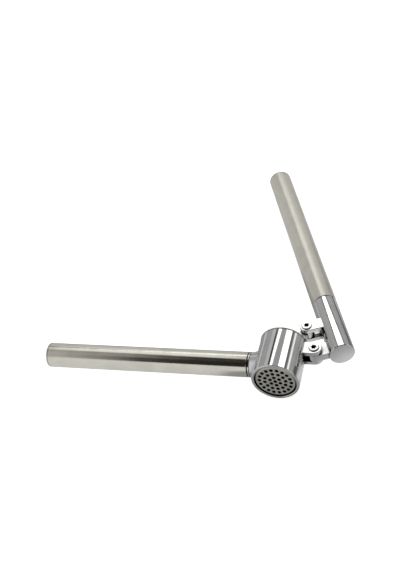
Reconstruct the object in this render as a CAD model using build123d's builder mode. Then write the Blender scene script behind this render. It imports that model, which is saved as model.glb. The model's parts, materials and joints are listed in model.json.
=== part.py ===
from build123d import *

import os
from math import cos, radians, sin

# Two-lever garlic press: a round chamber with a drop-in sieve cup, a plunger that hangs
# from the upper lever, and two tubular handles.
#
# Frame: the origin is where the chamber's axis crosses the lower handle's axis. +Y runs along
# the chamber from the sieve to the mouth, -X runs along the lower handle to its free end, and
# +Z is the direction of both pivot pins, which is up when the press lies on its side.

os.makedirs("parts", exist_ok=True)

# ---------------------------------------------------------------- driving dimensions (mm)
TUBE_R = 8.0                 # both handles are 16 mm tube
TUBE_WALL = 1.0
SPIGOT_GAP = 0.02            # radial room of a bonded spigot in its tube
SPIGOT_LENGTH = 14.0
EDGE_BREAK = 0.25            # small chamfer on turned edges

CHAMBER_R = 15.0
BORE_R = 13.25
LIP_Y = -13.2                # sieve end of the cast chamber
MOUTH_Y = 17.9               # mouth end of the cast chamber
LIP_ROUND = 0.6

CUP_OUTER_R = 13.1           # close in the bore near the mouth
CUP_FOOT_R = 12.7            # and clear of it round the sieve
CUP_FOOT_LENGTH = 6.0
CUP_WALL = 0.7
CUP_FLANGE_R = 15.3
CUP_FLANGE = 1.0
CUP_FLANGE_ROUND = 0.35
CUP_CORNER_R = 1.0
SIEVE_Y = -12.6              # outer face of the sieve plate, just inside the lip
HOLE_R = 1.2
HOLE_PITCH = 3.31            # radial step from one ring of holes to the next
HOLE_RINGS = 3
HOLES_PER_RING = 6           # added by each ring
HOLE_TURN = -7.0             # first hole of each ring, degrees from +Z towards +X

NECK_END_X = -17.3           # where the cast neck meets the handle's collar
NECK_ROOT_X = -12.0          # the neck flares to here, inside the chamber wall
NECK_ROOT_R = 9.2
COLLAR_WIDTH = 0.9
COLLAR_GAP = 0.25
TUBE_GAP = 0.6
LOWER_END_X = -156.5         # free end of the lower handle
CAP_THICKNESS = 1.2
CAP_GAP = 0.15
CAP_ROUND = 0.9
CAP_PLUG = 6.0

PIVOT_X = 20.5
PIVOT_Y = 11.9
PIVOT_SPACING = 19.8         # main pivot to plunger pivot
PIVOT_OFFSET = 16.0          # both pivots to the upper handle's axis
PIVOT_FROM_END = 5.9         # main pivot to the upper handle's flat end, along the handle
EYE_R = 4.8
CLEVIS_EYE_R = 4.3
EAR_INNER_Z = 2.67
EAR_OUTER_Z = 5.33
TONGUE_Z = 2.5               # half thickness of what turns between two ears
EAR_ROUND = 0.35

PIN_R = 2.6
PIN_CLEARANCE = 0.05
HEAD_R = 3.2
HEAD_HEIGHT = 0.8
HEAD_ROUND = 0.35
LOBES = 6
LOBE_R = 0.45
LOBE_CIRCLE_R = 1.45
SOCKET_DEPTH = 2.2
THREAD_R = 1.5
THREAD_GAP = 0.03
THREAD_DEPTH = 5.0
CAP_SCREW_SHANK = 3.8
HEX_R = 1.15
HEX_DEPTH = 1.5

OPENING = 67.87              # angle between the two handles at rest, degrees
HEAD_LENGTH = 46.0           # cast part of the upper handle
SEAM_GAP = 0.3               # groove between the casting and the upper tube
LEVER_LENGTH = 191.9

PLUNGER_FOLLOW = 0.47        # plunger tilt gained for each degree that the lever opens
PLUNGER_TILT_CLOSED = -1.57
PLUNGER_REACH = 23.1         # plunger pivot to the pressing face
DISC_R = 10.25
DISC_THICKNESS = 2.0
DISC_ROUND = 0.4
ARM_EYE_R = 4.0
WEB_HALF = 2.0
WEB_TOP = 2.6
WEB_FOOT = 4.6
FOOT_R = 6.5
FOOT_THICKNESS = 2.2
RIB_HALF = 1.2
RIB_FOOT = 5.4
RIB_START = 4.6
DISC_SCREW_R = 1.5
DISC_SCREW_HEAD_R = 2.8
DISC_SCREW_LENGTH = 8.0

# ---------------------------------------------------------------- derived frames and places
TUBE_BORE_R = TUBE_R - TUBE_WALL
SPIGOT_R = TUBE_BORE_R - SPIGOT_GAP
PIN_HOLE_R = PIN_R + PIN_CLEARANCE

lever_angle = 180.0 - OPENING
lever_dir = Vector(cos(radians(lever_angle)), sin(radians(lever_angle)), 0)
lever_side = Vector(-lever_dir.Y, lever_dir.X, 0)
main_pivot = Vector(PIVOT_X, PIVOT_Y, 0)
plunger_pivot = main_pivot + lever_dir * PIVOT_SPACING
lever_end = main_pivot - lever_dir * PIVOT_FROM_END - lever_side * PIVOT_OFFSET

# Lever plane: local x runs along the upper handle from its flat end, local y to the pivots.
LEVER = Plane(origin=lever_end, x_dir=lever_dir, z_dir=(0, 0, 1))
LEVER_AXIS = Axis(lever_end, lever_dir)
MAIN_EYE = (PIVOT_FROM_END, PIVOT_OFFSET)
CLEVIS_EYE = (PIVOT_FROM_END + PIVOT_SPACING, PIVOT_OFFSET)

plunger_tilt = PLUNGER_TILT_CLOSED + PLUNGER_FOLLOW * OPENING
plunger_dir = Vector(-sin(radians(plunger_tilt)), -cos(radians(plunger_tilt)), 0)
plunger_side = Vector(-plunger_dir.Y, plunger_dir.X, 0)

# Plunger planes: local x runs from the plunger pivot to the pressing face.
PLUNGER = Plane(origin=plunger_pivot, x_dir=plunger_dir, z_dir=(0, 0, 1))
PLUNGER_CROSS = Plane(origin=plunger_pivot, x_dir=plunger_dir, z_dir=plunger_side)
PLUNGER_AXIS = Axis(plunger_pivot, plunger_dir)
DISC_BACK = PLUNGER_REACH - DISC_THICKNESS
FOOT_BACK = DISC_BACK - FOOT_THICKNESS

cup_step_y = SIEVE_Y + CUP_FOOT_LENGTH
cup_top_y = MOUTH_Y + CUP_FLANGE
cup_floor_y = SIEVE_Y + CUP_WALL
cup_bore_r = CUP_FOOT_R - CUP_WALL

collar_x = NECK_END_X - COLLAR_GAP
tube_x = collar_x - COLLAR_WIDTH - TUBE_GAP
lower_tube_end = LOWER_END_X + CAP_THICKNESS + CAP_GAP
upper_tube_end = LEVER_LENGTH - CAP_THICKNESS - CAP_GAP


def save(part, name):
    """Names a finished piece and writes its STEP file."""
    part.part.label = name
    export_step(part.part, f"parts/{name}.step")


def band(start, end, inner, outer):
    """Sketch rectangle from start to end along local x, and from inner to outer radius."""
    with Locations(((start + end) / 2, (inner + outer) / 2)):
        Rectangle(end - start, outer - inner)


def on_cylinder(edge, axis_point, axis_dir, radius):
    """True where the middle of an edge lies on a cylinder about the given axis."""
    offset = edge.position_at(0.5) - axis_point
    across = offset - axis_dir * offset.dot(axis_dir)
    return abs(across.length - radius) < 0.02


# ---------------------------------------------------------------- lower casting
with BuildPart() as press_body:
    with BuildSketch(Plane.XY):
        with Locations((CHAMBER_R / 2, (LIP_Y + MOUTH_Y) / 2)):
            Rectangle(CHAMBER_R, MOUTH_Y - LIP_Y)
    revolve(axis=Axis.Y)
    with BuildSketch(Plane.XY):
        with BuildLine():
            Polyline(
                (NECK_END_X, 0),
                (NECK_END_X, TUBE_R - EDGE_BREAK),
                (NECK_ROOT_X, NECK_ROOT_R),
                (NECK_ROOT_X, 0),
                close=True,
            )
        make_face()
    revolve(axis=Axis.X)
    for low_z in (EAR_INNER_Z, -EAR_OUTER_Z):
        with BuildSketch(Plane.XY.offset(low_z)):
            with Locations((PIVOT_X / 2, PIVOT_Y)):
                Rectangle(PIVOT_X, 2 * EYE_R)
            with Locations((PIVOT_X, PIVOT_Y)):
                Circle(EYE_R)
        extrude(amount=EAR_OUTER_Z - EAR_INNER_Z)
    ear_rims = press_body.edges().filter_by(
        lambda e: e.center().X > CHAMBER_R and abs(abs(e.center().Z) - EAR_OUTER_Z) < 0.01
    )
    fillet(ear_rims, EAR_ROUND)
    with BuildSketch(Plane.XY):
        with Locations((BORE_R / 2, (LIP_Y + MOUTH_Y) / 2)):
            Rectangle(BORE_R, MOUTH_Y - LIP_Y)
    revolve(axis=Axis.Y, mode=Mode.SUBTRACT)
    lip_edges = press_body.faces().sort_by(Axis.Y)[0].edges().sort_by(SortBy.LENGTH)
    fillet(lip_edges[-1], LIP_ROUND)
    fillet(lip_edges[0], EDGE_BREAK)
    chamfer(press_body.faces().sort_by(Axis.Y)[-1].edges().sort_by(SortBy.LENGTH)[-1], EDGE_BREAK)
    with BuildSketch(Plane.XY):
        with Locations((PIVOT_X, PIVOT_Y)):
            Circle(PIN_HOLE_R)
    extrude(amount=EAR_OUTER_Z, both=True, mode=Mode.SUBTRACT)
    with BuildSketch(Plane.YZ.offset(NECK_END_X - SPIGOT_LENGTH)):
        Circle(SPIGOT_R)
    extrude(amount=SPIGOT_LENGTH)
save(press_body, "press_body")

# ---------------------------------------------------------------- drop-in sieve cup
with BuildPart() as sieve_cup:
    with BuildSketch(Plane.XY):
        with BuildLine():
            Polyline(
                (0, SIEVE_Y),
                (CUP_FOOT_R, SIEVE_Y),
                (CUP_FOOT_R, cup_step_y),
                (CUP_OUTER_R, cup_step_y + CUP_OUTER_R - CUP_FOOT_R),
                (CUP_OUTER_R, MOUTH_Y),
                (CUP_FLANGE_R, MOUTH_Y),
                (CUP_FLANGE_R, cup_top_y),
                (0, cup_top_y),
                close=True,
            )
        make_face()
    revolve(axis=Axis.Y)
    fillet(sieve_cup.edges().sort_by(Axis.Y)[0], CUP_CORNER_R)
    flange_rims = sieve_cup.edges().filter_by(
        lambda e: on_cylinder(e, Vector(), Vector(0, 1, 0), CUP_FLANGE_R)
    ).filter_by(GeomType.CIRCLE)
    fillet(flange_rims, CUP_FLANGE_ROUND)
    with BuildSketch(Plane.XY):
        with Locations((cup_bore_r / 2, (cup_floor_y + cup_top_y) / 2)):
            Rectangle(cup_bore_r, cup_top_y - cup_floor_y)
    revolve(axis=Axis.Y, mode=Mode.SUBTRACT)
    floor_edges = sieve_cup.edges().filter_by(lambda e: abs(e.center().Y - cup_floor_y) < 0.01)
    fillet(floor_edges, CUP_CORNER_R - CUP_WALL)
    fillet(sieve_cup.faces().sort_by(Axis.Y)[-1].edges().sort_by(SortBy.LENGTH)[0], EDGE_BREAK)
    with BuildSketch(Plane(origin=(0, SIEVE_Y, 0), x_dir=(0, 0, 1), z_dir=(0, 1, 0))):
        Circle(HOLE_R)
        for ring in range(1, HOLE_RINGS + 1):
            with PolarLocations(ring * HOLE_PITCH, HOLES_PER_RING * ring, start_angle=HOLE_TURN):
                Circle(HOLE_R)
    extrude(amount=CUP_WALL, mode=Mode.SUBTRACT)
save(sieve_cup, "sieve_cup")

# ---------------------------------------------------------------- lower handle
with BuildPart() as lower_collar:
    with BuildSketch(Plane.XY):
        band(collar_x - COLLAR_WIDTH, collar_x, TUBE_BORE_R, TUBE_R)
    revolve(axis=Axis.X)
    collar_rims = lower_collar.edges().filter_by(
        lambda e: on_cylinder(e, Vector(), Vector(1, 0, 0), TUBE_R)
    ).filter_by(GeomType.CIRCLE)
    chamfer(collar_rims, EDGE_BREAK / 2)
save(lower_collar, "lower_handle_collar")

with BuildPart() as lower_tube:
    with BuildSketch(Plane.XY):
        band(lower_tube_end, tube_x, TUBE_BORE_R, TUBE_R)
    revolve(axis=Axis.X)
    chamfer(lower_tube.edges().group_by(Axis.X)[-1].sort_by(SortBy.LENGTH)[-1], EDGE_BREAK)
    chamfer(lower_tube.edges().group_by(Axis.X)[0].sort_by(SortBy.LENGTH)[-1], EDGE_BREAK / 2)
save(lower_tube, "lower_handle_tube")

with BuildPart() as lower_cap:
    with BuildSketch(Plane.XY):
        band(LOWER_END_X, LOWER_END_X + CAP_THICKNESS, 0, TUBE_R)
        band(LOWER_END_X, LOWER_END_X + CAP_THICKNESS + CAP_PLUG, 0, SPIGOT_R)
    revolve(axis=Axis.X)
    fillet(lower_cap.edges().group_by(Axis.X)[0], CAP_ROUND)
save(lower_cap, "lower_handle_cap")

# ---------------------------------------------------------------- upper lever
with BuildPart() as lever_head:
    with BuildSketch(LEVER):
        band(0, HEAD_LENGTH, 0, TUBE_R)
    revolve(axis=LEVER_AXIS)
    head_rims = lever_head.edges().filter_by(GeomType.CIRCLE)
    chamfer(head_rims, EDGE_BREAK)
    for eye, eye_r, low_z, high_z in (
        (MAIN_EYE, EYE_R, -TONGUE_Z, TONGUE_Z),
        (CLEVIS_EYE, CLEVIS_EYE_R, EAR_INNER_Z, EAR_OUTER_Z),
        (CLEVIS_EYE, CLEVIS_EYE_R, -EAR_OUTER_Z, -EAR_INNER_Z),
    ):
        with BuildSketch(LEVER.offset(low_z)):
            with Locations((eye[0], eye[1] / 2)):
                Rectangle(2 * eye_r, eye[1])
            with Locations(eye):
                Circle(eye_r)
        extrude(amount=high_z - low_z)
    lug_rims = lever_head.edges().filter_by(
        lambda e: LEVER.to_local_coords(e.center()).Y > TUBE_R
        and abs(abs(e.center().Z) - EAR_OUTER_Z) < 0.01
    )
    fillet(lug_rims, EAR_ROUND)
    with BuildSketch(LEVER):
        with Locations(MAIN_EYE, CLEVIS_EYE):
            Circle(PIN_HOLE_R)
    extrude(amount=EAR_OUTER_Z, both=True, mode=Mode.SUBTRACT)
    with BuildSketch(LEVER):
        band(HEAD_LENGTH, HEAD_LENGTH + SPIGOT_LENGTH, 0, SPIGOT_R)
    revolve(axis=LEVER_AXIS)
save(lever_head, "lever_head")

with BuildPart() as upper_tube:
    with BuildSketch(LEVER):
        band(HEAD_LENGTH + SEAM_GAP, upper_tube_end, TUBE_BORE_R, TUBE_R)
    revolve(axis=LEVER_AXIS)
    chamfer(upper_tube.edges().group_by(LEVER_AXIS)[0].sort_by(SortBy.LENGTH)[-1], EDGE_BREAK)
    chamfer(upper_tube.edges().group_by(LEVER_AXIS)[-1].sort_by(SortBy.LENGTH)[-1], EDGE_BREAK / 2)
save(upper_tube, "upper_handle_tube")

with BuildPart() as upper_cap:
    with BuildSketch(LEVER):
        band(LEVER_LENGTH - CAP_THICKNESS, LEVER_LENGTH, 0, TUBE_R)
        band(LEVER_LENGTH - CAP_THICKNESS - CAP_PLUG, LEVER_LENGTH, 0, SPIGOT_R)
    revolve(axis=LEVER_AXIS)
    fillet(upper_cap.edges().group_by(LEVER_AXIS)[-1], CAP_ROUND)
save(upper_cap, "upper_handle_cap")

# ---------------------------------------------------------------- plunger
with BuildPart() as plunger_arm:
    with BuildSketch(PLUNGER):
        Circle(ARM_EYE_R)
    extrude(amount=TONGUE_Z, both=True)
    with BuildSketch(PLUNGER):
        with BuildLine():
            Polyline(
                (0, WEB_TOP), (FOOT_BACK, WEB_FOOT), (FOOT_BACK, -WEB_FOOT), (0, -WEB_TOP), close=True
            )
        make_face()
    extrude(amount=WEB_HALF, both=True)
    with BuildSketch(PLUNGER_CROSS):
        with BuildLine():
            Polyline(
                (RIB_START, 0), (FOOT_BACK, RIB_FOOT), (FOOT_BACK, -RIB_FOOT), close=True
            )
        make_face()
    extrude(amount=RIB_HALF, both=True)
    with BuildSketch(PLUNGER):
        band(FOOT_BACK, DISC_BACK, 0, FOOT_R)
    revolve(axis=PLUNGER_AXIS)
    with BuildSketch(PLUNGER):
        Circle(PIN_HOLE_R)
    extrude(amount=TONGUE_Z, both=True, mode=Mode.SUBTRACT)
    with BuildSketch(PLUNGER):
        band(PLUNGER_REACH - DISC_SCREW_LENGTH, DISC_BACK, 0, DISC_SCREW_R)
    revolve(axis=PLUNGER_AXIS, mode=Mode.SUBTRACT)
save(plunger_arm, "plunger_arm")

with BuildPart() as plunger_disc:
    with BuildSketch(PLUNGER):
        band(DISC_BACK, PLUNGER_REACH, 0, DISC_R)
    revolve(axis=PLUNGER_AXIS)
    fillet(plunger_disc.edges(), DISC_ROUND)
    with BuildSketch(PLUNGER):
        with BuildLine():
            Polyline(
                (DISC_BACK, 0),
                (DISC_BACK, DISC_SCREW_R),
                (PLUNGER_REACH - DISC_SCREW_HEAD_R + DISC_SCREW_R, DISC_SCREW_R),
                (PLUNGER_REACH, DISC_SCREW_HEAD_R),
                (PLUNGER_REACH, 0),
                close=True,
            )
        make_face()
    revolve(axis=PLUNGER_AXIS, mode=Mode.SUBTRACT)
save(plunger_disc, "plunger_disc")

with BuildPart() as plunger_screw:
    with BuildSketch(PLUNGER):
        with BuildLine():
            Polyline(
                (PLUNGER_REACH, 0),
                (PLUNGER_REACH, DISC_SCREW_HEAD_R - THREAD_GAP),
                (PLUNGER_REACH - DISC_SCREW_HEAD_R + DISC_SCREW_R, DISC_SCREW_R - THREAD_GAP),
                (PLUNGER_REACH - DISC_SCREW_LENGTH, DISC_SCREW_R - THREAD_GAP),
                (PLUNGER_REACH - DISC_SCREW_LENGTH, 0),
                close=True,
            )
        make_face()
    revolve(axis=PLUNGER_AXIS)
    with BuildSketch(Plane(origin=plunger_pivot + plunger_dir * PLUNGER_REACH, z_dir=plunger_dir)):
        RegularPolygon(HEX_R, 6)
    extrude(amount=-HEX_DEPTH, mode=Mode.SUBTRACT)
save(plunger_screw, "plunger_screw")


# ---------------------------------------------------------------- pivot pins
def pivot_bolt(centre, name):
    """Shouldered bolt: its head and lobed socket face +Z, its shoulder is the pivot pin."""
    with BuildPart() as bolt:
        with BuildSketch(Plane.XY.offset(EAR_OUTER_Z)):
            with Locations((centre.X, centre.Y)):
                Circle(HEAD_R)
        extrude(amount=HEAD_HEIGHT)
        fillet(bolt.faces().sort_by(Axis.Z)[-1].edges(), HEAD_ROUND)
        with BuildSketch(Plane.XY.offset(EDGE_BREAK / 2 - EAR_OUTER_Z)):
            with Locations((centre.X, centre.Y)):
                Circle(PIN_R)
        extrude(amount=2 * EAR_OUTER_Z - EDGE_BREAK / 2)
        with BuildSketch(Plane.XY.offset(EAR_OUTER_Z + HEAD_HEIGHT)):
            with Locations((centre.X, centre.Y)):
                Circle(LOBE_CIRCLE_R)
                with PolarLocations(LOBE_CIRCLE_R, LOBES):
                    Circle(LOBE_R)
        extrude(amount=-SOCKET_DEPTH, mode=Mode.SUBTRACT)
        with BuildSketch(Plane.XY.offset(-EAR_OUTER_Z)):
            with Locations((centre.X, centre.Y)):
                Circle(THREAD_R)
        extrude(amount=THREAD_DEPTH, mode=Mode.SUBTRACT)
    save(bolt, name)


def cap_screw(centre, name):
    """Screw that closes the pin from the far side, threaded into the bolt's shoulder."""
    with BuildPart() as screw:
        with BuildSketch(Plane.XY.offset(-EAR_OUTER_Z - HEAD_HEIGHT)):
            with Locations((centre.X, centre.Y)):
                Circle(HEAD_R)
        extrude(amount=HEAD_HEIGHT)
        fillet(screw.faces().sort_by(Axis.Z)[0].edges(), HEAD_ROUND)
        with BuildSketch(Plane.XY.offset(-EAR_OUTER_Z)):
            with Locations((centre.X, centre.Y)):
                Circle(THREAD_R - THREAD_GAP)
        extrude(amount=CAP_SCREW_SHANK)
        with BuildSketch(Plane.XY.offset(-EAR_OUTER_Z - HEAD_HEIGHT)):
            with Locations((centre.X, centre.Y)):
                RegularPolygon(HEX_R, 6)
        extrude(amount=HEX_DEPTH, mode=Mode.SUBTRACT)
    save(screw, name)


pivot_bolt(main_pivot, "main_pivot_bolt")
cap_screw(main_pivot, "main_pivot_cap_screw")
pivot_bolt(plunger_pivot, "plunger_pivot_bolt")
cap_screw(plunger_pivot, "plunger_pivot_cap_screw")
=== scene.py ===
import json
import math

import bpy
from mathutils import Matrix, Vector


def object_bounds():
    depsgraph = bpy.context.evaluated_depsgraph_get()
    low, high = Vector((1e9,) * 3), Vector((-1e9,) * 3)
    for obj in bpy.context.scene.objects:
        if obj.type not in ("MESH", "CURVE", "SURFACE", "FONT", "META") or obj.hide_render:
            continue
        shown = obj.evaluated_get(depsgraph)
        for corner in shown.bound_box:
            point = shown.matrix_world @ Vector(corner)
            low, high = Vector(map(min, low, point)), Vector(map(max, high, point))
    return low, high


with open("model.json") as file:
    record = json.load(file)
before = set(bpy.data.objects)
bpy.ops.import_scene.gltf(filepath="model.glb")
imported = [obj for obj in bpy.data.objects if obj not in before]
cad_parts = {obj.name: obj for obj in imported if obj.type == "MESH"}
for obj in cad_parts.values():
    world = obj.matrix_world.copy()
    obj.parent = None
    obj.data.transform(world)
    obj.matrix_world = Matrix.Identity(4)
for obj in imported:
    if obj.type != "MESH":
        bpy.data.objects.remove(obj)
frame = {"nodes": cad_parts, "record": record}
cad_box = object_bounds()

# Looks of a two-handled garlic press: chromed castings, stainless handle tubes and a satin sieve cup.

UP = Vector((0, 0, 1))
NODES = frame["nodes"]
MOUNTS = {mount["name"]: mount for mount in frame["record"]["mounts"]}
LEVER_DIRECTION = Vector(MOUNTS["upper_grip"]["axis"])
LOWER_DIRECTION = Vector(MOUNTS["lower_grip"]["axis"])
CHAMBER_DIRECTION = Vector(MOUNTS["chamber"]["axis"])

# Camera, degrees and metres
CAMERA_AZIMUTH = -65.65
CAMERA_ELEVATION = 40.98
CAMERA_ROLL = -15.21
CAMERA_DISTANCE = 0.64234
CAMERA_LENS = 58.51
CAMERA_CLIP = (0.01, 20.0)
AIM = Vector((-0.06935, 0.07096, 0.0))

# Floor, the table just under it, and the light, metres and watts. The table carries painted shade and a
# painted dark reflection for the metal to mirror.
FLOOR_SIZE = 4.0
FLOOR_COLOUR = (0.8, 0.8, 0.8, 1)
FLOOR_GLOW = 0.85
FLOOR_ROUGHNESS = 0.9
TABLE_DROP = 0.0002
TABLE_PALE = (0.46, 0.46, 0.46, 1)
# Painted shade near the press and a painted dark reflection, both on the table that only the metal mirrors
TABLE_SHADE = (0.26, 0.26, 0.265, 1)
TABLE_PAINTED_DARK = (0.12, 0.12, 0.12, 1)
LIGHT_HEIGHT = 1.0
LIGHT_SIZE = 1.4
LIGHT_POWER = 3.0

# Pale patches on the table's painted shade, metres. Two values are one fade, and four are a fade in and a
# fade out.
BEHIND_Y = (-0.01, 0.01, 0.014, 0.028)
BESIDE_X = (0.02, 0.035, 0.046, 0.058)
BESIDE_Y = (0.0, 0.03)
BESIDE_SHARE = 0.45
FRONT_X = (-0.05, -0.03)
FRONT_Y = (-0.008, 0.002)
FAR_Y = (0.09, 0.11)
FAR_SHARE = 0.7
PAINTED_DARK_X = (0.055, 0.075)

# Heights on the studio's rings, as cosines to a ring's axis: a fade in and a fade out
TUBE_REACH = (-0.48, -0.44, -0.28, -0.24)
UPPER_REACH = (0.735, 0.75, 0.815, 0.83)
SEAM_REACH = (0.723, 0.735, 0.75, 0.762)
BOWL_REACH = (0.58, 0.60, 0.675, 0.695)
HEAD_REACH = (0.674, 0.684, 0.735, 0.745)
FIGURE_REACH = (-0.385, -0.335, 0.8, 0.85)
FIGURE_CORE_REACH = (-0.415, -0.375, 0.8, 0.84)

# Metals
MIRROR = 0.82                   # share of light that the chrome gives back
LINE_RED = 0.10                 # warmth of the thin dark lines in the chrome
CHROME = (0.83, 0.825, 0.82)
STEEL = (0.80, 0.785, 0.70)
SATIN = (0.72, 0.70, 0.63)
PIN_STEEL = (0.80, 0.79, 0.76)
SMUDGE_SCALE = 90.0
SMUDGE_RANGE = (0.35, 0.65)
SMUDGE_DULL = 0.95
SMUDGE_PALE = 1.03
GRAIN_SCALE = 2600.0
GRAIN_HEIGHT = 0.0001
STREAK_SQUEEZE = 0.985          # share of the grain's change along the tube that is taken away
# Painted shade in crevices: the ambient occlusion range over which the base colour darkens, and its samples
SHADE_AO_RANGE = (0.45, 0.95)
SHADE_AO_SAMPLES = 8


def linear(level):
    """A display tone as scene light. White is 1."""
    return level / 12.92 if level <= 0.04045 else ((level + 0.055) / 1.055) ** 2.4


def lit(tone, warmth=0.0):
    """The light that a mirror-bright casting shows as that tone, warmer or cooler by a share."""
    parts = [linear(tone * share) / MIRROR for share in (1 + warmth, 1.0, 1 - warmth)]
    return (*parts, 1.0)


# Node helpers


def feed(tree, socket, value):
    """Link a value that is a socket, or set a value that is a constant."""
    if isinstance(value, bpy.types.NodeSocket):
        tree.links.new(value, socket)
    else:
        socket.default_value = value


def calc(tree, operation, *values):
    node = tree.nodes.new("ShaderNodeMath")
    node.operation = operation
    for socket, value in zip(node.inputs, values):
        feed(tree, socket, value)
    return node.outputs[0]


def dot(tree, vector, axis):
    node = tree.nodes.new("ShaderNodeVectorMath")
    node.operation = "DOT_PRODUCT"
    feed(tree, node.inputs[0], vector)
    node.inputs[1].default_value = axis
    return node.outputs["Value"]


def ramp(tree, value, start, end, low=0.0, high=1.0, kind="SMOOTHSTEP"):
    """A clamped step from low to high between two values."""
    node = tree.nodes.new("ShaderNodeMapRange")
    node.interpolation_type = kind
    feed(tree, node.inputs["Value"], value)
    node.inputs["From Min"].default_value = start
    node.inputs["From Max"].default_value = end
    node.inputs["To Min"].default_value = low
    node.inputs["To Max"].default_value = high
    return node.outputs[0]


def fall(tree, value, start, end):
    """A clamped step down from 1 to 0."""
    return ramp(tree, value, start, end, 1.0, 0.0)


def band(tree, value, places):
    """A share that rises between the first two places and falls between the last two."""
    rise_start, rise_end, fall_start, fall_end = places
    rise = ramp(tree, value, rise_start, rise_end)
    return calc(tree, "MULTIPLY", rise, fall(tree, value, fall_start, fall_end))


def mix(tree, share, first, second):
    node = tree.nodes.new("ShaderNodeMix")
    node.data_type = "RGBA"
    feed(tree, node.inputs[0], share)
    feed(tree, node.inputs[6], first)
    feed(tree, node.inputs[7], second)
    return node.outputs[2]


# Studio


def make_camera():
    azimuth = math.radians(CAMERA_AZIMUTH)
    elevation = math.radians(CAMERA_ELEVATION)
    level = Vector((math.cos(azimuth), math.sin(azimuth), 0))
    back = level * math.cos(elevation) + UP * math.sin(elevation)
    right = UP.cross(back).normalized()
    turn = Matrix.Rotation(math.radians(CAMERA_ROLL), 3, back)
    axes = Matrix((turn @ right, turn @ back.cross(right), back)).transposed()
    data = bpy.data.cameras.new("camera")
    data.lens = CAMERA_LENS
    data.clip_start, data.clip_end = CAMERA_CLIP
    camera = bpy.data.objects.new("camera", data)
    camera.matrix_world = Matrix.Translation(AIM + back * CAMERA_DISTANCE) @ axes.to_4x4()
    bpy.context.scene.collection.objects.link(camera)
    bpy.context.scene.camera = camera


def ring(tree, toward, axis, zero):
    """A direction's turn about an axis, in degrees from zero, and its height, the cosine to the axis."""
    turn = calc(tree, "ARCTAN2", dot(tree, toward, axis.cross(zero)), dot(tree, toward, zero))
    return calc(tree, "DEGREES", turn), dot(tree, toward, axis)


def paint(tree, base, place, reach, turns, blur, colour, far_turns=None):
    """A card over part of a ring. Its side edges slant from turns to far_turns over its reach."""
    turn, height = place
    past = []
    for near, far in zip(turns, far_turns or turns):
        edge = ramp(tree, height, reach[1], reach[2], near, far, "LINEAR")
        past.append(calc(tree, "SUBTRACT", turn, edge))
    sides = calc(tree, "MULTIPLY", ramp(tree, past[0], -blur, 0), fall(tree, past[1], 0, blur))
    return mix(tree, calc(tree, "MULTIPLY", band(tree, height, reach), sides), base, colour)


def studio_colour(tree, toward):
    """The room that the metal mirrors: walls, a framed soft box overhead and a dark figure."""
    height = dot(tree, toward, (0, 0, 1))
    front = ramp(tree, dot(tree, toward, (0, -1, 0)), -0.25, 0.35)
    far_wall = mix(tree, ramp(tree, height, -0.25, 0.5), lit(0.53), lit(0.60))
    near_wall = mix(tree, ramp(tree, height, -0.3, 0.6), lit(0.79), lit(0.76))
    colour = mix(tree, front, far_wall, near_wall)
    tube = ring(tree, toward, Vector((1, 0, 0)), CHAMBER_DIRECTION)
    bowl = ring(tree, toward, CHAMBER_DIRECTION, UP)
    head = ring(tree, toward, LEVER_DIRECTION, UP)

    # walls as the lower tube shows them
    for turns, blur, light in (
        ((-60, 20), 14, lit(0.70)),
        ((38, 72), 14, lit(0.87)),
        ((84, 146), 6, lit(0.55, 0.02)),
    ):
        colour = paint(tree, colour, tube, TUBE_REACH, turns, blur, light)

    # the far wall as the upper tube shows it
    colour = paint(tree, colour, head, UPPER_REACH, (-150, 150), 20, lit(0.80, 0.01))
    colour = paint(tree, colour, head, UPPER_REACH, (-30, 34), 14, lit(0.92))
    colour = paint(tree, colour, head, SEAM_REACH, (-7, 13), 5, lit(0.60, LINE_RED / 2))

    # the soft box and its frame as the chamber shows them
    for turns, blur, light in (
        ((-62, 80), 6, lit(0.57)),
        ((-55, -40), 3, lit(0.68)),
        ((15, 38), 4, lit(1.25)),
        ((43, 51), 2, lit(0.38, 0.02)),
        ((57, 64), 2, lit(0.92)),
        ((-37, -31), 1.5, lit(0.22, LINE_RED)),
    ):
        colour = paint(tree, colour, bowl, BOWL_REACH, turns, blur, light)

    # the same box as the lever head shows it, narrower towards the seam
    colour = paint(tree, colour, head, HEAD_REACH, (-25, 43), 2, lit(0.22, LINE_RED), (-13, 25))
    colour = paint(tree, colour, head, HEAD_REACH, (-18, 35), 2, lit(1.2), (-5, 16))

    # the figure beside the camera
    colour = paint(tree, colour, tube, FIGURE_REACH, (88, 153), 4, lit(0.16, 0.05))
    return paint(tree, colour, tube, FIGURE_CORE_REACH, (118, 152), 4, lit(0.10, 0.05))


def make_world():
    """The camera sees plain white, and everything else sees the painted studio."""
    world = bpy.data.worlds.new("studio")
    bpy.context.scene.world = world
    world.use_nodes = True
    tree = world.node_tree
    tree.nodes.clear()
    toward = tree.nodes.new("ShaderNodeTexCoord").outputs["Generated"]
    seen = tree.nodes.new("ShaderNodeBackground")
    seen.inputs["Color"].default_value = (1, 1, 1, 1)
    mirrored = tree.nodes.new("ShaderNodeBackground")
    tree.links.new(studio_colour(tree, toward), mirrored.inputs["Color"])
    choose = tree.nodes.new("ShaderNodeMixShader")
    path = tree.nodes.new("ShaderNodeLightPath")
    tree.links.new(path.outputs["Is Camera Ray"], choose.inputs[0])
    tree.links.new(mirrored.outputs[0], choose.inputs[1])
    tree.links.new(seen.outputs[0], choose.inputs[2])
    out = tree.nodes.new("ShaderNodeOutputWorld")
    tree.links.new(choose.outputs[0], out.inputs["Surface"])


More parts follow.
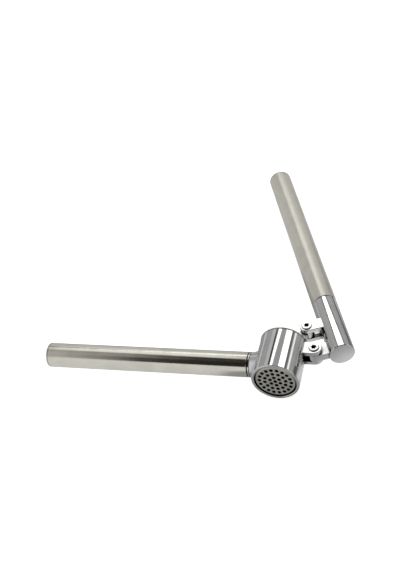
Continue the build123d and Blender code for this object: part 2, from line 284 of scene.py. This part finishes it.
def make_plane(name, height, colour, glow=0.0):
    half = FLOOR_SIZE / 2
    corners = [(-half, -half, height), (half, -half, height), (half, half, height), (-half, half, height)]
    mesh = bpy.data.meshes.new(name)
    mesh.from_pydata(corners, [], [(0, 1, 2, 3)])
    plane = bpy.data.objects.new(name, mesh)
    bpy.context.scene.collection.objects.link(plane)
    material = bpy.data.materials.new(name)
    material.use_nodes = True
    shader = material.node_tree.nodes["Principled BSDF"]
    shader.inputs["Base Color"].default_value = colour
    shader.inputs["Roughness"].default_value = FLOOR_ROUGHNESS
    shader.inputs["Specular IOR Level"].default_value = 0.0
    shader.inputs["Emission Color"].default_value = (1, 1, 1, 1)
    shader.inputs["Emission Strength"].default_value = glow
    mesh.materials.append(material)
    return plane


def table_colour(tree):
    """Painted shade, dim near the press, pale where its sides mirror open table, and a painted dark
    reflection past a line along x.
    """
    place = tree.nodes.new("ShaderNodeNewGeometry").outputs["Position"]
    along = dot(tree, place, (1, 0, 0))
    across = dot(tree, place, (0, 1, 0))
    behind = band(tree, across, BEHIND_Y)
    beside = ramp(tree, across, *BESIDE_Y, 0.0, BESIDE_SHARE)
    beside = calc(tree, "MULTIPLY", band(tree, along, BESIDE_X), beside)
    front = calc(tree, "MULTIPLY", fall(tree, along, *FRONT_X), fall(tree, across, *FRONT_Y))
    far = ramp(tree, across, *FAR_Y, 0.0, FAR_SHARE)
    near_patches = calc(tree, "MAXIMUM", behind, beside)
    pale = calc(tree, "MAXIMUM", near_patches, calc(tree, "MAXIMUM", front, far))
    # Painted shade near the press, lifted in the pale patches, and painted dark past a line along x for a
    # dark reflection
    return mix(tree, ramp(tree, along, *PAINTED_DARK_X), mix(tree, pale, TABLE_SHADE, TABLE_PALE), TABLE_PAINTED_DARK)


def make_floor():
    """A pale floor that the camera sees, and a dimmer table just under it, painted with shade, that the
    metal mirrors.
    """
    low = cad_box[0].z
    floor = make_plane("floor", low, FLOOR_COLOUR, FLOOR_GLOW)
    floor.visible_glossy = False
    floor.visible_shadow = False
    table = make_plane("table", low - TABLE_DROP, TABLE_SHADE)
    table.visible_camera = False
    tree = table.data.materials[0].node_tree
    tree.links.new(table_colour(tree), tree.nodes["Principled BSDF"].inputs["Base Color"])


def make_light():
    data = bpy.data.lights.new("overhead", "AREA")
    data.size = LIGHT_SIZE
    data.energy = LIGHT_POWER
    light = bpy.data.objects.new("overhead", data)
    light.location = (cad_box[0] + cad_box[1]) / 2 + UP * LIGHT_HEIGHT
    light.visible_glossy = False
    bpy.context.scene.collection.objects.link(light)


# Materials


def noise(tree, vector, scale, detail):
    node = tree.nodes.new("ShaderNodeTexNoise")
    feed(tree, node.inputs["Vector"], vector)
    node.inputs["Scale"].default_value = scale
    node.inputs["Detail"].default_value = detail
    return node.outputs[0]


def streaks(tree, place, axis):
    """Coordinates squeezed along an axis, so that a pattern runs in streaks along it."""
    node = tree.nodes.new("ShaderNodeVectorMath")
    node.operation = "MULTIPLY_ADD"
    along = tree.nodes.new("ShaderNodeVectorMath")
    along.operation = "SCALE"
    along.inputs[0].default_value = axis
    feed(tree, along.inputs["Scale"], dot(tree, place, axis))
    tree.links.new(along.outputs[0], node.inputs[0])
    node.inputs[1].default_value = (-STREAK_SQUEEZE,) * 3
    feed(tree, node.inputs[2], place)
    return node.outputs[0]


def metal(name, colour, roughness, wear=0.03, bump=0.02, grain=None, shade_distance=0.004, dark=0.03, own=False):
    """A metal with faint smudges, a fine surface grain and painted shade that darkens its crevices.

    The grain streaks along an axis if one is given. The painted shade falls where ambient occlusion finds
    faces within shade_distance, in metres, and only between a piece's own faces if own is set; dark is the
    colour of that painted shade.
    """
    material = bpy.data.materials.new(name)
    material.use_nodes = True
    tree = material.node_tree
    shader = tree.nodes["Principled BSDF"]
    shader.inputs["Metallic"].default_value = 1.0
    place = tree.nodes.new("ShaderNodeTexCoord").outputs["Object"]
    smudge = noise(tree, place, SMUDGE_SCALE, 3.0)
    pattern = streaks(tree, place, grain) if grain is not None else place
    fine = noise(tree, pattern, GRAIN_SCALE, 2.0)
    pale = tuple(part * SMUDGE_PALE for part in colour) + (1.0,)
    dull = tuple(part * SMUDGE_DULL for part in colour) + (1.0,)
    clean = mix(tree, ramp(tree, smudge, *SMUDGE_RANGE), dull, pale)
    # Painted shade: the base colour goes dark where ambient occlusion finds faces nearby, in crevices,
    # recesses and between parts
    shade_ao = tree.nodes.new("ShaderNodeAmbientOcclusion")
    shade_ao.samples = SHADE_AO_SAMPLES
    shade_ao.only_local = own
    shade_ao.inputs["Distance"].default_value = shade_distance
    unshaded = ramp(tree, shade_ao.outputs["AO"], *SHADE_AO_RANGE)
    tree.links.new(mix(tree, unshaded, (dark, dark, dark, 1), clean), shader.inputs["Base Color"])
    matt = calc(tree, "ADD", calc(tree, "MULTIPLY", smudge, wear), calc(tree, "MULTIPLY", fine, wear))
    tree.links.new(calc(tree, "ADD", matt, roughness - wear), shader.inputs["Roughness"])
    relief = tree.nodes.new("ShaderNodeBump")
    relief.inputs["Strength"].default_value = bump
    relief.inputs["Distance"].default_value = GRAIN_HEIGHT
    tree.links.new(fine, relief.inputs["Height"])
    tree.links.new(relief.outputs[0], shader.inputs["Normal"])
    return material


def dress(material, *names):
    for name in names:
        slots = NODES[name].data.materials
        slots.clear()
        slots.append(material)


chrome = metal("chrome_casting", CHROME, 0.06)
cast_arm = metal("chrome_arm", CHROME, 0.12)
lower_steel = metal(
    "stainless_lower", STEEL, 0.13, wear=0.05, bump=0.05, grain=LOWER_DIRECTION, shade_distance=0.0015
)
upper_steel = metal(
    "stainless_upper", STEEL, 0.30, wear=0.05, bump=0.08, grain=LEVER_DIRECTION, shade_distance=0.0015
)
rim_steel = metal("stainless_rim", STEEL, 0.14, wear=0.04, bump=0.03, shade_distance=0.0015)
# Painted shade: the sieve cup's inside and its holes go near black, from ambient occlusion over its own
# faces within 5 cm
sieve_satin = metal("satin_stainless", SATIN, 0.38, wear=0.08, bump=0.15, shade_distance=0.05, dark=0.004, own=True)
disc_satin = metal("satin_disc", SATIN, 0.35, wear=0.08, bump=0.15)
pin_steel = metal("fastener_steel", PIN_STEEL, 0.12, wear=0.04, bump=0.05, shade_distance=0.0025, dark=0.02)

dress(chrome, "press_body", "lever_head", "lower_handle_collar")
dress(cast_arm, "plunger_arm")
dress(lower_steel, "lower_handle_tube")
dress(upper_steel, "upper_handle_tube")
dress(rim_steel, "lower_handle_cap", "upper_handle_cap")
dress(sieve_satin, "sieve_cup")
dress(disc_satin, "plunger_disc")
dress(pin_steel, *[name for name in NODES if "screw" in name or "bolt" in name])

make_camera()
make_world()
make_floor()
make_light()
bpy.context.scene.view_settings.view_transform = "Standard"
bpy.context.scene.view_settings.look = "None"
